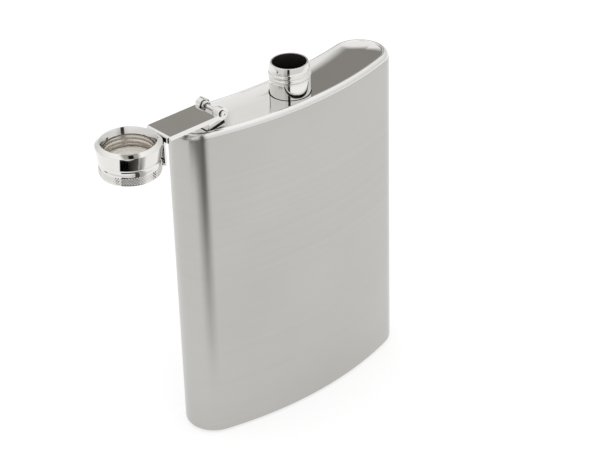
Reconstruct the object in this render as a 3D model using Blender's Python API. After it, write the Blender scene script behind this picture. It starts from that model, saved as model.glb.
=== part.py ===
"""Hip flask: a curved sheet-steel body with a screw cap on a hinged arm.

Frame: +Z up, origin in the middle of the flat base. X runs across the width,
-Y is the convex front and +Y the hollow back. The cap is modelled open, mouth
up, past the -X side. Sizes below are millimetres; meshes are metres.
"""
import math

import bmesh
import bpy
from mathutils import Matrix

MM = 0.001

# Clearances between pieces
GAP = 0.3               # between faces that touch on the real object
THREAD_CLEARANCE = 0.5  # radial, cap thread crest to neck thread crest
STRAP_CLEARANCE = 0.5   # cap side to the arm's strap

# Body
BODY_WIDTH = 96.0
BODY_DEPTH = 23.3       # front to back in the middle of the width
BODY_HEIGHT = 123.0     # to the crest of the top rim
FRONT_BOW = 8.5         # how far the convex front bulges over the full width
BACK_BOW = 7.1          # how deep the hollow back is over the full width
WALL = 0.6
FOOT_ROUND = 1.4        # rounding of the bottom edge
FOOT_LIP = 0.4          # flat lip past the rounding
RIM_DROP = 2.5          # height of the rounding below the rim's crest
RIM_WIDTH = 2.4         # outside of the wall to the inner side of the rim
RIM_ROLL = 0.6          # inner rounding of the rim
SHOULDER_RECESS = 1.0   # rim crest down to the shoulder plate
SHOULDER_SHEET = 0.8
BASE_SHEET = 0.6

# Neck
NECK_HEIGHT = 10.7      # above the rim's crest
NECK_THREAD_RADIUS = 7.5
NECK_WALL = 1.55        # thread crest to bore
NECK_LOW_STEP = 0.3     # thread crest to the plain part below it
NECK_MOUTH_TAPER = 0.85  # thread crest to the outside of the mouth
NECK_FLANGE_REACH = 2.3
NECK_FLANGE_SHEET = 0.8
LEAD_IN = 2.2           # tapered top of the neck, above the thread
MOUTH_ROUND = 0.25
THREAD_PITCH = 1.5
THREAD_DEPTH = 0.45
THREAD_LENGTH = 4.5     # on the neck

# Hinge and arm
CAP_SIDE_GAP = 11.25    # side of the body to the open cap
HINGE_RISE = 5.5        # pin above the rim's crest
PIN_RADIUS = 0.8
PIN_HEAD_RADIUS = 1.4
PIN_HEAD = 0.45
PIN_DIMPLE = 0.5
KNUCKLE_RADIUS = 2.25
KNUCKLE_LENGTH = 2.25
ARM_WIDTH = 11.7
ARM_SHEET = 0.8
ARM_FLANGE = 1.7        # depth of the turned-down sides, sheet included
ARM_NOTCH = 2.9         # pin axis to the arm's cross edge between the knuckles
STRAP_WIDTH = 7.2       # beside the cap
STRAP_TIP_WIDTH = 6.6   # at the round end under the cap
STRAP_BEND = 0.3        # inner radius of the strap's bends
ARM_CORNER = 1.0        # rounding of the plate's corners at the strap
ARM_SKIRT = 0.1         # full-width end of the arm, below the knuckles
EAR_RADIUS = 1.75
BRACKET_SHEET = 0.8
BRACKET_TOE = 3.0       # foot of the bracket past the pin, towards the neck

# Cap, heights counted from its mouth towards its closed end
MOUTH_RISE = 7.0        # mouth of the open cap above the rim's crest
CAP_MOUTH_FACE = 0.15   # mouth edge past the insert's pocket
CAP_WALL = 0.6          # insert's pocket to the bottom of the cove
CAP_BAND_STEP = 1.2     # bottom of the cove to the band
CAP_GRIP_STEP = 0.55    # bottom of the cove to the grip ring
CAP_TAPER = 0.55        # how much narrower the band is at the cove
CAP_CHAMFER = 1.2
CAP_COVE = 2.4
CAP_GRIP = 3.6
FUNNEL = 2.3            # depth of the lead-in funnel
FUNNEL_LIP = 0.35       # funnel's end past the thread crest
INSERT_WALL = 1.05      # thread crest to the insert's outside
LINER = 1.2
RIVET_ROOM = 1.8        # hollow behind the liner
END_WALL = 1.6
LEDGE = 1.6             # step that carries the liner
GRIP_ROUND = 0.5

# Rivet
RIVET_RADIUS = 1.5
RIVET_HEAD_RADIUS = 3.0
RIVET_HEAD = 1.1
RIVET_HEAD_RIM = 0.3    # straight edge of the head, under its dome
RIVET_SET_RADIUS = 2.5  # peened end inside the cap
RIVET_SET = 0.7
WASHER_RADIUS = 3.0
WASHER = 0.4

# Facets
FACE_STEPS = 14
END_STEPS = 14
ROUND_STEPS = 40
SMALL_STEPS = 24
SHARP_ANGLE = math.radians(32)

# Sizes and places that follow
HALF_WIDTH = BODY_WIDTH / 2
FRONT_RADIUS = (HALF_WIDTH ** 2 + FRONT_BOW ** 2) / (2 * FRONT_BOW)
BACK_RADIUS = (HALF_WIDTH ** 2 + BACK_BOW ** 2) / (2 * BACK_BOW)
NECK_BORE_RADIUS = NECK_THREAD_RADIUS - NECK_WALL
NECK_LOW_RADIUS = NECK_THREAD_RADIUS - NECK_LOW_STEP
NECK_MOUTH_RADIUS = NECK_THREAD_RADIUS - NECK_MOUTH_TAPER
CAP_THREAD_RADIUS = NECK_THREAD_RADIUS + THREAD_CLEARANCE
INSERT_RADIUS = CAP_THREAD_RADIUS + INSERT_WALL
POCKET_RADIUS = INSERT_RADIUS + GAP
CAP_MOUTH_RADIUS = POCKET_RADIUS + CAP_MOUTH_FACE
CAP_WAIST_RADIUS = POCKET_RADIUS + CAP_WALL
CAP_BAND_RADIUS = CAP_WAIST_RADIUS + CAP_BAND_STEP
CAP_GRIP_RADIUS = CAP_WAIST_RADIUS + CAP_GRIP_STEP
HINGE_OFFSET = (HALF_WIDTH + CAP_SIDE_GAP + CAP_BAND_RADIUS) / 2
PIN_X = -HINGE_OFFSET
PIN_Z = BODY_HEIGHT + HINGE_RISE
CAP_X = -2 * HINGE_OFFSET
MOUTH_Z = BODY_HEIGHT + MOUTH_RISE
NECK_TOP = BODY_HEIGHT + NECK_HEIGHT
SHOULDER_Z = BODY_HEIGHT - SHOULDER_RECESS
CLOSED_MOUTH_Z = 2 * PIN_Z - MOUTH_Z
SEAL_DEPTH = NECK_TOP - CLOSED_MOUTH_Z + GAP
LEDGE_DEPTH = SEAL_DEPTH + LINER + GAP
END_DEPTH = LEDGE_DEPTH + RIVET_ROOM
CAP_HEIGHT = END_DEPTH + END_WALL
RIVET_HOLE = RIVET_RADIUS + GAP
PIN_HOLE = PIN_RADIUS + GAP
EAR_OUTSIDE = ARM_WIDTH / 2 - KNUCKLE_LENGTH - GAP
STRAP_X = CAP_X + CAP_BAND_RADIUS + STRAP_CLEARANCE
STRAP_Z = MOUTH_Z - CAP_HEIGHT - GAP - ARM_SHEET

# Finishes: colour, roughness, metallic
SATIN_STEEL = ((0.60, 0.59, 0.57), 0.36, 1.0)
POLISHED_STEEL = ((0.72, 0.71, 0.69), 0.10, 1.0)
PLAIN_STEEL = ((0.56, 0.53, 0.49), 0.28, 1.0)
SEAL_RUBBER = ((0.78, 0.75, 0.70), 0.60, 0.0)


def clear_scene():
    """Remove whatever the scene holds."""
    for item in list(bpy.data.objects):
        bpy.data.objects.remove(item, do_unlink=True)


def make_material(name, finish):
    """Principled material with the finish's colour, roughness and metallic value."""
    colour, roughness, metallic = finish
    material = bpy.data.materials.new(name)
    material.use_nodes = True
    shader = material.node_tree.nodes["Principled BSDF"]
    shader.inputs["Base Color"].default_value = (*colour, 1.0)
    shader.inputs["Roughness"].default_value = roughness
    shader.inputs["Metallic"].default_value = metallic
    return material


def add_object(name, bm, finish=None, origin=(0.0, 0.0, 0.0)):
    """Object from a bmesh in millimetres, its origin moved to `origin`."""
    bmesh.ops.recalc_face_normals(bm, faces=bm.faces)
    bmesh.ops.translate(bm, verts=bm.verts, vec=[-value for value in origin])
    bmesh.ops.scale(bm, verts=bm.verts, vec=(MM, MM, MM))
    mesh = bpy.data.meshes.new(name)
    bm.to_mesh(mesh)
    bm.free()
    mesh.shade_smooth()
    mesh.set_sharp_from_angle(angle=SHARP_ANGLE)
    item = bpy.data.objects.new(name, mesh)
    item.location = [value * MM for value in origin]
    bpy.context.collection.objects.link(item)
    if finish is not None:
        mesh.materials.append(make_material(name + "_finish", finish))
    return item


def arc(centre, radii, start, end, steps):
    """Points along an arc or an ellipse, both ends included, angles in degrees."""
    points = []
    for step in range(steps + 1):
        angle = math.radians(start + (end - start) * step / steps)
        points.append((centre[0] + radii[0] * math.cos(angle),
                       centre[1] + radii[1] * math.sin(angle)))
    return points


def loft(bm, rings, around=True):
    """Skin consecutive rings of points; `around` joins the last ring to the first."""
    rows = [[bm.verts.new(point) for point in ring] for ring in rings]
    pairs = list(zip(rows, rows[1:]))
    if around:
        pairs.append((rows[-1], rows[0]))
    count = len(rows[0])
    for low, high in pairs:
        for i in range(count):
            j = (i + 1) % count
            bm.faces.new((low[i], low[j], high[j], high[i]))
    if not around:
        bm.faces.new(rows[0])
        bm.faces.new(rows[-1])


def prism(bm, points, low, high, along="Z"):
    """Closed prism of a plane outline between two levels along an axis.

    The outline is (x, y) along Z, (x, z) along Y and (y, z) along X.
    """
    place = "XYZ".index(along)
    rings = []
    for level in (low, high):
        rings.append([(*point[:place], level, *point[place:]) for point in points])
    loft(bm, rings, around=False)


# ---------------------------------------------------------------- section

def end_arc():
    """Radius and centre of the arc that joins front and back at each end."""
    front_y = FRONT_RADIUS - BODY_DEPTH / 2
    back_y = BACK_RADIUS + BODY_DEPTH / 2

    def centre_y(radius):
        squares = (BACK_RADIUS + radius) ** 2 - (FRONT_RADIUS - radius) ** 2
        return (back_y ** 2 - front_y ** 2 - squares) / (2 * (back_y - front_y))

    low, high = 0.0, BODY_DEPTH
    for _ in range(60):
        radius = (low + high) / 2
        reach = math.hypot(HALF_WIDTH - radius, front_y - centre_y(radius))
        if reach > FRONT_RADIUS - radius:
            high = radius
        else:
            low = radius
    return radius, HALF_WIDTH - radius, centre_y(radius)


def section(inset):
    """Body section, counterclockwise, moved inwards by `inset`."""
    front_y = FRONT_RADIUS - BODY_DEPTH / 2
    back_y = BACK_RADIUS + BODY_DEPTH / 2
    radius, end_x, end_y = end_arc()
    front_angle = math.degrees(math.atan2(end_x, front_y - end_y))
    back_angle = math.degrees(math.atan2(end_x, back_y - end_y))
    front = arc((0, front_y), [FRONT_RADIUS - inset] * 2,
                -90 - front_angle, -90 + front_angle, FACE_STEPS)
    back = arc((0, back_y), [BACK_RADIUS + inset] * 2,
               -90 + back_angle, -90 - back_angle, FACE_STEPS)
    right = arc((end_x, end_y), [radius - inset] * 2,
                -90 + front_angle, 90 + back_angle, END_STEPS)
    left = [(-x, y) for x, y in reversed(right)]
    return front + right[1:-1] + back + left[1:-1]


def section_ring(inset, z):
    """One ring of the body section at height z."""
    return [(x, y, z) for x, y in section(inset)]


# ---------------------------------------------------------------- body

def wall_profile():
    """Closed (inset, height) profile of the wrapped sheet with both edges curled in."""
    top = BODY_HEIGHT
    lip = FOOT_ROUND + FOOT_LIP
    crest = RIM_WIDTH - RIM_ROLL
    rim_end = SHOULDER_Z + GAP
    points = [(lip, 0.0)]
    points += arc((FOOT_ROUND, FOOT_ROUND), [FOOT_ROUND] * 2, -90, -180, 3)
    points += arc((crest, top - RIM_DROP), (crest, RIM_DROP), 180, 90, 5)
    points += arc((crest, top - RIM_ROLL), [RIM_ROLL] * 2, 60, 0, 2)
    points += [(RIM_WIDTH, rim_end), (crest, rim_end)]
    inner = arc((crest, top - RIM_DROP), (crest - WALL, RIM_DROP - WALL), 90, 180, 4)
    points += inner[1:]
    points += arc((FOOT_ROUND, FOOT_ROUND), [FOOT_ROUND - WALL] * 2, 180, 270, 2)
    points += [(lip, WALL)]
    return points


def build_body_wall():
    """Wrapped sheet of the flask's body."""
    bm = bmesh.new()
    loft(bm, [section_ring(inset, z) for inset, z in wall_profile()])
    add_object("body_wall", bm, SATIN_STEEL)


def build_base_plate():
    """Base plate, flush with the foot, its joggled edge lapped over the foot's lip."""
    edge = FOOT_ROUND + FOOT_LIP + GAP
    lap = WALL + GAP
    profile = [(edge, 0.0), (edge, lap), (FOOT_ROUND, lap), (FOOT_ROUND, lap + BASE_SHEET),
               (edge + BASE_SHEET, lap + BASE_SHEET), (edge + BASE_SHEET, BASE_SHEET)]
    bm = bmesh.new()
    loft(bm, [section_ring(inset, z) for inset, z in profile], around=False)
    add_object("base_plate", bm, SATIN_STEEL)


def rim_inside(z):
    """Inset of the inner side of the rim's rounding at height z."""
    reach = (z - BODY_HEIGHT + RIM_DROP) / (RIM_DROP - WALL)
    width = RIM_WIDTH - RIM_ROLL - WALL
    return WALL + width * (1 - math.sqrt(1 - min(1.0, max(0.0, reach)) ** 2))


def build_shoulder_plate():
    """Plate under the rim's curl, with the hole for the neck."""
    bm = bmesh.new()
    edge = rim_inside(SHOULDER_Z) + GAP
    outer = [bm.verts.new((x, y, SHOULDER_Z)) for x, y in section(edge)]
    hole = arc((0, 0), [NECK_LOW_RADIUS + GAP] * 2, 0, 360, ROUND_STEPS)[:-1]
    inner = [bm.verts.new((x, y, SHOULDER_Z)) for x, y in hole]
    edges = []
    for loop in (outer, inner):
        for i, vert in enumerate(loop):
            edges.append(bm.edges.new((vert, loop[(i + 1) % len(loop)])))
    bmesh.ops.triangle_fill(bm, use_beauty=True, edges=edges)
    result = bmesh.ops.extrude_face_region(bm, geom=list(bm.faces))
    moved = [item for item in result["geom"] if isinstance(item, bmesh.types.BMVert)]
    bmesh.ops.translate(bm, verts=moved, vec=(0, 0, -SHOULDER_SHEET))
    add_object("shoulder_plate", bm, POLISHED_STEEL)


# ---------------------------------------------------------------- turned pieces

def turned(name, profile, finish, centre, steps, axis="Z", thread=None):
    """Piece turned about `axis` from a closed (radius, height) profile.

    A profile point at radius 0 would pinch the mesh, so solid pieces pass an
    open profile whose ends are the caps: see `turned_solid`.
    """
    bm = bmesh.new()
    loft(bm, turned_rings(profile, steps, thread))
    place_turned(bm, centre, axis)
    return add_object(name, bm, finish, centre)


def turned_solid(name, profile, finish, centre, steps, axis="Z"):
    """Turned piece without a bore; flat caps close both ends of the profile."""
    bm = bmesh.new()
    loft(bm, turned_rings(profile, steps), around=False)
    place_turned(bm, centre, axis)
    return add_object(name, bm, finish, centre)


def turned_rings(profile, steps, thread=None):
    """Rings of a turned profile; `thread` adds a radius that depends on angle."""
    rings = []
    for radius, z in profile:
        ring = []
        for i in range(steps):
            angle = 2 * math.pi * i / steps
            reach = radius
            if thread is not None:
                reach += thread(radius, z, angle)
            ring.append((reach * math.cos(angle), reach * math.sin(angle), z))
        rings.append(ring)
    return rings


def place_turned(bm, centre, axis):
    """Turn the Z axis onto `axis` and move the piece to `centre`."""
    if axis == "Y":
        turn = Matrix.Rotation(math.radians(-90), 3, "X")
        bmesh.ops.rotate(bm, verts=bm.verts, matrix=turn)
    bmesh.ops.translate(bm, verts=bm.verts, vec=centre)


def ridge(z, angle, start, length):
    """Height of a right-hand thread's ridge, 0 to 1, faded out at both ends."""
    fade = min(1.0, (z - start) / THREAD_PITCH, (start + length - z) / THREAD_PITCH)
    if fade <= 0:
        return 0.0
    phase = 2 * math.pi * (z - start) / THREAD_PITCH - angle
    return fade * (0.5 + 0.5 * math.cos(phase))


def thread_rows(low, high):
    """Heights of the rows that carry a thread, four to each pitch."""
    count = max(2, round(4 * (high - low) / THREAD_PITCH))
    return [low + (high - low) * row / count for row in range(count + 1)]


def build_neck_tube():
    """Spout: flange under the shoulder plate, plain neck, thread and tapered mouth."""
    flange_top = -SHOULDER_RECESS - SHOULDER_SHEET - GAP
    flange_low = flange_top - NECK_FLANGE_SHEET
    flange_radius = NECK_LOW_RADIUS + NECK_FLANGE_REACH
    root = NECK_THREAD_RADIUS - THREAD_DEPTH
    thread_high = NECK_HEIGHT - LEAD_IN
    thread_low = thread_high - THREAD_LENGTH
    profile = [(NECK_BORE_RADIUS, flange_low), (flange_radius, flange_low),
               (flange_radius, flange_top), (NECK_LOW_RADIUS, flange_top),
               (NECK_LOW_RADIUS, thread_low - MOUTH_ROUND)]
    profile += [(root, z) for z in thread_rows(thread_low, thread_high)]
    mouth = NECK_HEIGHT - MOUTH_ROUND
    profile += arc((NECK_MOUTH_RADIUS - MOUTH_ROUND, mouth), [MOUTH_ROUND] * 2, 0, 90, 2)
    profile += arc((NECK_BORE_RADIUS + MOUTH_ROUND, mouth), [MOUTH_ROUND] * 2, 90, 180, 2)

    def thread(radius, z, angle):
        if radius != root:
            return 0.0
        return THREAD_DEPTH * ridge(z, angle, thread_low, THREAD_LENGTH)

    turned("neck_tube", profile, POLISHED_STEEL, (0, 0, BODY_HEIGHT), ROUND_STEPS,
           thread=thread)


def build_cap_shell():
    """Outer shell of the cap: funnel, chamfer, band, cove, grip ring and end wall."""
    grip_top = -CAP_HEIGHT + CAP_GRIP
    cove_top = grip_top + CAP_COVE
    band_low = CAP_BAND_RADIUS - CAP_TAPER
    cove_depth = band_low - CAP_WAIST_RADIUS
    edge = CAP_GRIP_RADIUS - GRIP_ROUND
    ledge_radius = POCKET_RADIUS - LEDGE
    profile = [(RIVET_HOLE, -CAP_HEIGHT)]
    profile += arc((edge, -CAP_HEIGHT + GRIP_ROUND), [GRIP_ROUND] * 2, -90, 0, 2)
    profile += [(CAP_GRIP_RADIUS, grip_top)]
    hollow = CAP_COVE / 2
    profile += arc((band_low, cove_top - hollow), (cove_depth, hollow), 225, 90, 5)
    profile += [(CAP_BAND_RADIUS, -CAP_CHAMFER), (CAP_MOUTH_RADIUS, 0.0),
                (CAP_THREAD_RADIUS + FUNNEL_LIP, -FUNNEL),
                (POCKET_RADIUS, -FUNNEL), (POCKET_RADIUS, -LEDGE_DEPTH),
                (ledge_radius, -LEDGE_DEPTH), (ledge_radius, -END_DEPTH),
                (RIVET_HOLE, -END_DEPTH)]
    turned("cap_shell", profile, POLISHED_STEEL, (CAP_X, 0, MOUTH_Z), ROUND_STEPS)


def build_cap_insert():
    """Threaded sleeve between the funnel and the liner."""
    top = -FUNNEL - GAP
    low = -SEAL_DEPTH + GAP
    root = CAP_THREAD_RADIUS + THREAD_DEPTH
    rows = thread_rows(low + MOUTH_ROUND, top - MOUTH_ROUND)
    profile = [(INSERT_RADIUS, low), (INSERT_RADIUS, top), (root, top)]
    profile += [(root, z) for z in reversed(rows)]
    profile += [(root, low)]

    def thread(radius, z, angle):
        if radius != root or z in (top, low):
            return 0.0
        return -THREAD_DEPTH * ridge(z, angle, low, top - low)

    turned("cap_thread_insert", profile, PLAIN_STEEL, (CAP_X, 0, MOUTH_Z), ROUND_STEPS,
           thread=thread)


def build_cap_liner():
    """Seal disc on the shell's ledge."""
    profile = [(INSERT_RADIUS, -SEAL_DEPTH - LINER), (INSERT_RADIUS, -SEAL_DEPTH)]
    turned_solid("cap_liner", profile, SEAL_RUBBER, (CAP_X, 0, MOUTH_Z), ROUND_STEPS)


def build_cap_rivet():
    """Rivet through the arm and the cap's end wall, peened inside the cap."""
    arm_low = -CAP_HEIGHT - GAP - ARM_SHEET
    head = arm_low - GAP
    set_low = -END_DEPTH + GAP + WASHER + GAP
    dome = (RIVET_HEAD_RADIUS, RIVET_HEAD - RIVET_HEAD_RIM)
    profile = arc((0, head - RIVET_HEAD_RIM), dome, -70, 0, 4)
    profile += [(RIVET_HEAD_RADIUS, head), (RIVET_RADIUS, head), (RIVET_RADIUS, set_low),
                (RIVET_SET_RADIUS, set_low), (RIVET_SET_RADIUS, set_low + RIVET_SET)]
    turned_solid("cap_rivet", profile, POLISHED_STEEL, (CAP_X, 0, MOUTH_Z), SMALL_STEPS)


def build_rivet_washer():
    """Washer between the cap's end wall and the rivet's peened end."""
    low = -END_DEPTH + GAP
    profile = [(RIVET_HOLE, low), (WASHER_RADIUS, low),
               (WASHER_RADIUS, low + WASHER), (RIVET_HOLE, low + WASHER)]
    turned("rivet_washer", profile, PLAIN_STEEL, (CAP_X, 0, MOUTH_Z), SMALL_STEPS)


def build_hinge_pin():
    """Pin along Y with a peened, dimpled head at each end."""
    inside = ARM_WIDTH / 2 + GAP
    outside = inside + PIN_HEAD
    half = [(PIN_RADIUS, inside), (PIN_HEAD_RADIUS, inside),
            (PIN_HEAD_RADIUS, outside - PIN_HEAD / 3),
            (PIN_HEAD_RADIUS - PIN_HEAD / 2, outside),
            (PIN_DIMPLE, outside), (PIN_DIMPLE / 2, outside - PIN_HEAD / 2)]
    profile = [(radius, -y) for radius, y in reversed(half)] + half
    turned_solid("hinge_pin", profile, POLISHED_STEEL, (PIN_X, 0, PIN_Z), SMALL_STEPS,
                 axis="Y")


# ---------------------------------------------------------------- arm and bracket

def add_cutter(name, bm):
    """Hidden object that a Boolean modifier reads."""
    cutter = add_object(name, bm)
    cutter.hide_render = True
    cutter.display_type = "WIRE"
    return cutter


def combine(target, name, bm, operation="DIFFERENCE"):
    """Boolean modifier on `target` with the shape in `bm`."""
    modifier = target.modifiers.new(name, "BOOLEAN")
    modifier.operation = operation
    modifier.solver = "EXACT"
    modifier.object = add_cutter(name, bm)


def cut_box(target, name, x_range, half_y, z_range):
    """Cut a box, centred on y = 0, out of `target`."""
    (x_low, x_high), (z_low, z_high) = x_range, z_range
    outline = [(x_low, z_low), (x_high, z_low), (x_high, z_high), (x_low, z_high)]
    bm = bmesh.new()
    prism(bm, outline, -half_y, half_y, along="Y")
    combine(target, name, bm)


def cut_hole(target, name, centre, radius, length, axis):
    """Cut a round hole along Z or Y out of `target`."""
    bm = bmesh.new()
    ring = arc((0, 0), [radius] * 2, 0, 360, SMALL_STEPS)[:-1]
    prism(bm, ring, -length / 2, length / 2)
    place_turned(bm, centre, axis)
    combine(target, name, bm)


def arm_side():
    """Side view (x, z) of the arm: strap under and beside the cap, plate, knuckle."""
    outer = STRAP_BEND + ARM_SHEET
    low_bend = (STRAP_X - STRAP_BEND, STRAP_Z + outer)
    high_bend = (STRAP_X + outer, PIN_Z - outer)
    tip = CAP_X - STRAP_TIP_WIDTH
    dip = math.degrees(math.asin(ARM_FLANGE / KNUCKLE_RADIUS))
    points = [(tip, STRAP_Z + ARM_SHEET), (tip, STRAP_Z)]
    points += arc(low_bend, [outer] * 2, -90, 0, 4)
    points += arc(high_bend, [STRAP_BEND] * 2, 180, 90, 4)
    points += [(high_bend[0], PIN_Z - ARM_FLANGE)]
    points += arc((PIN_X, PIN_Z), [KNUCKLE_RADIUS] * 2, dip - 180, 180, 22)
    points += arc(high_bend, [outer] * 2, 90, 180, 4)
    points += arc(low_bend, [STRAP_BEND] * 2, 0, -90, 4)
    return points


def arm_plan():
    """Plan view (x, y) of the arm: wide plate with a notch, strap with a round end."""
    half = ARM_WIDTH / 2
    tip = STRAP_TIP_WIDTH / 2
    strap = (STRAP_WIDTH + STRAP_TIP_WIDTH) / 4
    right = PIN_X + 2 * KNUCKLE_RADIUS
    tooth = half - KNUCKLE_LENGTH
    corner = [ARM_CORNER] * 2
    points = [(right, -half), (right, -tooth), (PIN_X - ARM_NOTCH, -tooth),
              (PIN_X - ARM_NOTCH, tooth), (right, tooth), (right, half)]
    points += arc((STRAP_X + ARM_CORNER, half - ARM_CORNER), corner, 90, 180, 3)
    points += [(STRAP_X, strap)]
    points += arc((CAP_X, 0), [tip] * 2, 90, 270, 12)
    points += [(STRAP_X, -strap)]
    points += arc((STRAP_X + ARM_CORNER, ARM_CORNER - half), corner, 180, 270, 3)
    return points


def arm_end_view():
    """View (y, z) along the arm: as wide as the plate above, as the strap below."""
    half = ARM_WIDTH
    strap = STRAP_WIDTH / 2
    step = PIN_Z - KNUCKLE_RADIUS - ARM_SKIRT
    top = PIN_Z + ARM_WIDTH
    low = STRAP_Z - ARM_WIDTH
    return [(-strap, low), (strap, low), (strap, step), (half, step),
            (half, top), (-half, top), (-half, step), (-strap, step)]


def build_cap_arm():
    """Arm: channel-shaped plate with two knuckles, and the strap that holds the cap."""
    bm = bmesh.new()
    prism(bm, arm_side(), -ARM_WIDTH, ARM_WIDTH, along="Y")
    arm = add_object("cap_arm", bm, POLISHED_STEEL, (PIN_X, 0, PIN_Z))
    bm = bmesh.new()
    prism(bm, arm_plan(), STRAP_Z - ARM_WIDTH, PIN_Z + ARM_WIDTH)
    combine(arm, "arm_plan", bm, "INTERSECT")
    bm = bmesh.new()
    prism(bm, arm_end_view(), 2 * CAP_X, -CAP_X, along="X")
    combine(arm, "arm_end_view", bm, "INTERSECT")
    left = STRAP_X + 2 * ARM_SHEET + STRAP_BEND
    cut_box(arm, "arm_channel", (left, PIN_X - ARM_NOTCH - ARM_SHEET),
            ARM_WIDTH / 2 - ARM_SHEET, (PIN_Z - 2 * ARM_FLANGE, PIN_Z - ARM_SHEET))
    cut_hole(arm, "arm_pin_hole", (PIN_X, 0, PIN_Z), PIN_HOLE, 2 * ARM_WIDTH, "Y")
    cut_hole(arm, "arm_rivet_hole", (CAP_X, 0, STRAP_Z), RIVET_HOLE, 4 * ARM_SHEET, "Z")


def build_hinge_bracket():
    """U-shaped bracket: foot on the shoulder plate, stop wall and two ears."""
    foot = SHOULDER_Z + GAP
    wall_x = PIN_X - ARM_NOTCH - GAP - BRACKET_SHEET
    wall_top = PIN_Z - ARM_FLANGE - GAP
    toe_x = PIN_X + BRACKET_TOE
    side = [(wall_x, foot), (toe_x, foot), (toe_x, foot + BRACKET_SHEET)]
    side += arc((PIN_X, PIN_Z), [EAR_RADIUS] * 2, -10, 190, 12)
    side += [(PIN_X - EAR_RADIUS, wall_top), (wall_x, wall_top)]
    bm = bmesh.new()
    prism(bm, side, -EAR_OUTSIDE, EAR_OUTSIDE, along="Y")
    bracket = add_object("hinge_bracket", bm, POLISHED_STEEL, (PIN_X, 0, foot))
    cut_box(bracket, "bracket_channel", (wall_x + BRACKET_SHEET, toe_x + BRACKET_SHEET),
            EAR_OUTSIDE - BRACKET_SHEET, (foot + BRACKET_SHEET, PIN_Z + 2 * EAR_RADIUS))
    cut_hole(bracket, "bracket_pin_hole", (PIN_X, 0, PIN_Z), PIN_HOLE, ARM_WIDTH, "Y")


def main():
    """Build every piece."""
    clear_scene()
    build_body_wall()
    build_base_plate()
    build_shoulder_plate()
    build_neck_tube()
    build_hinge_bracket()
    build_hinge_pin()
    build_cap_arm()
    build_cap_rivet()
    build_rivet_washer()
    build_cap_shell()
    build_cap_insert()
    build_cap_liner()


main()
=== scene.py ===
"""Visible model of a hip flask, built around its fixed frame.

The frame gives the places. Sizes here are millimetres and meshes are metres. +Z is up,
-Y is the convex front, and the cap hangs open, mouth up, past the -X side.
"""

import logging
import math
from collections.abc import Callable, Iterator, Sequence
from contextlib import contextmanager
from dataclasses import dataclass, field
from enum import Enum
from itertools import pairwise

import bmesh
import bpy
from mathutils import Matrix, Vector
from mathutils.kdtree import KDTree

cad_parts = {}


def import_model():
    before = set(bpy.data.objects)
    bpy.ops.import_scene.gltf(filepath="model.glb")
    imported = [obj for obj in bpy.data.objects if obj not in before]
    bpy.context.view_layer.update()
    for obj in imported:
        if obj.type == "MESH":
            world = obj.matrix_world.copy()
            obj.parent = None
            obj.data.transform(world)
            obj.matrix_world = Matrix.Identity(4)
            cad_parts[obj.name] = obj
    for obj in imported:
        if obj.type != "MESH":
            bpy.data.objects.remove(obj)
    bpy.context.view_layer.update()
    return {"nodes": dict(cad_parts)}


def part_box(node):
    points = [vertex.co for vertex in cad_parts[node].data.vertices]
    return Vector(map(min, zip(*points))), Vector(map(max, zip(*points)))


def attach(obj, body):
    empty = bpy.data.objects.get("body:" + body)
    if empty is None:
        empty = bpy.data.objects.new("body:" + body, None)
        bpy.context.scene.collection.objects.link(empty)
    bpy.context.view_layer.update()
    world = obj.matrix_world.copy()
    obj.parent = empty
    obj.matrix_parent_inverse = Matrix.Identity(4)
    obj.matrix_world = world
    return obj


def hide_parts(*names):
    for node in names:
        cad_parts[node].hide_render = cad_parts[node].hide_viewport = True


LOG = logging.getLogger("hip_flask")
MM = 0.001
TINY = 1e-6
QUARTER_TURN = 0.25

Point = tuple[float, float]
Corner = tuple[float, float, float]
Colour = tuple[float, float, float]


class Slot(Enum):
    """Material slots of the frame's record."""

    SATIN = "satin_steel"
    POLISHED = "polished_steel"
    PLAIN = "plain_steel"
    RUBBER = "seal_rubber"


class Body(Enum):
    """Moving bodies of the frame."""

    FLASK = "flask"
    ARM = "arm"
    CAP = "cap"


# ---------------------------------------------------------------- profiles

def arc(centre: Point, radii: Point, start: float, end: float, steps: int) -> list[Point]:
    """Points along an arc or an ellipse.

    Args:
        centre: Middle of the arc.
        radii: Its two half axes.
        start: First angle in degrees.
        end: Last angle in degrees.
        steps: Number of chords.

    Returns:
        The points, both ends included.
    """
    points = []
    for step in range(steps + 1):
        angle = math.radians(start + (end - start) * step / steps)
        points.append((centre[0] + radii[0] * math.cos(angle),
                       centre[1] + radii[1] * math.sin(angle)))
    return points


def rounded(corners: Sequence[Corner], steps: int = 4) -> list[Point]:
    """Closed outline with each corner eased by its own radius.

    Args:
        corners: (radius or x, height, easing radius) for each corner.
        steps: Chords of each eased corner.

    Returns:
        The outline's points; a corner with no easing stays as it is.
    """
    points: list[Point] = []
    count = len(corners)
    for i, (x, y, ease) in enumerate(corners):
        here = Vector((x, y))
        if ease <= 0:
            points.append((x, y))
            continue
        before = (Vector(corners[i - 1][:2]) - here).normalized()
        after = (Vector(corners[(i + 1) % count][:2]) - here).normalized()
        half = before.angle(after) / 2
        middle = here + (before + after).normalized() * ease / math.sin(half)
        first = here + before * ease / math.tan(half) - middle
        last = here + after * ease / math.tan(half) - middle
        for step in range(steps + 1):
            spot = middle + first.slerp(last, step / steps).normalized() * ease
            points.append((spot.x, spot.y))
    return points


def corners_of(points: Sequence[Point]) -> list[Corner]:
    """Corners without easing, for the round stretches of a `rounded` outline."""
    return [(x, y, 0.0) for x, y in points]


# ---------------------------------------------------------------- bench work

def clear_selection() -> None:
    """Leave edit mode and select nothing."""
    if bpy.context.object is not None and bpy.context.object.mode != "OBJECT":
        bpy.ops.object.mode_set(mode="OBJECT")
    bpy.ops.object.select_all(action="DESELECT")


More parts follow.
